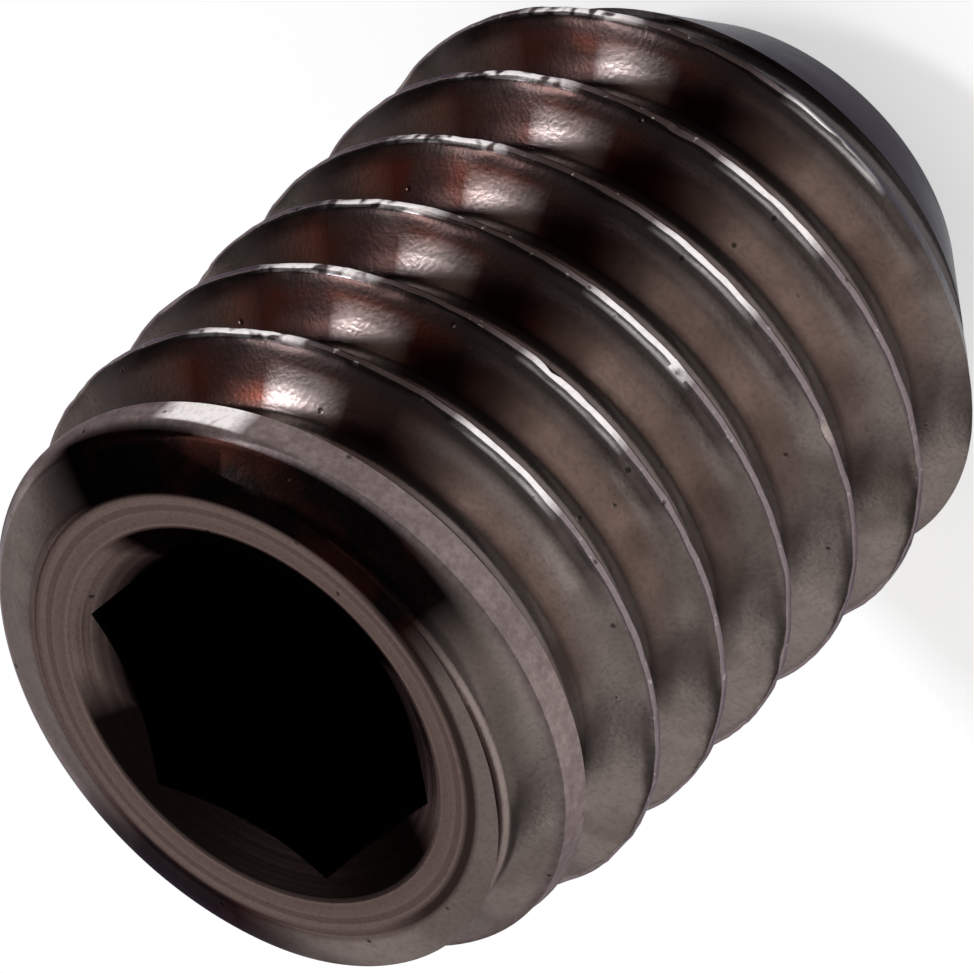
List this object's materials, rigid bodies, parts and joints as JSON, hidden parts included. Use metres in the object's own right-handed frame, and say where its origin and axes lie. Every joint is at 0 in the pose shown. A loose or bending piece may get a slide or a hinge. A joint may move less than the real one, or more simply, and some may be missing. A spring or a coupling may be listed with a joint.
{
  "type": "set screw",
  "caption": "Headless threaded steel screw with a hexagon socket in one end and a cup point at the other, for locking a collar or knob on a shaft.",
  "frame": {"origin": "centre of the plane of the cup rim that the screw stands on", "axes": "+Z along the screw's axis, from the cup point out of the hexagon socket; +X through a corner of the hexagon"},
  "size_m": [0.006, 0.006, 0.008],
  "materials": {
    "burnished_steel": "dark burnished steel with bright worn thread crests"
  },
  "bodies": {
    "root": {"set_screw": "burnished_steel"}
  },
  "joints": []
}
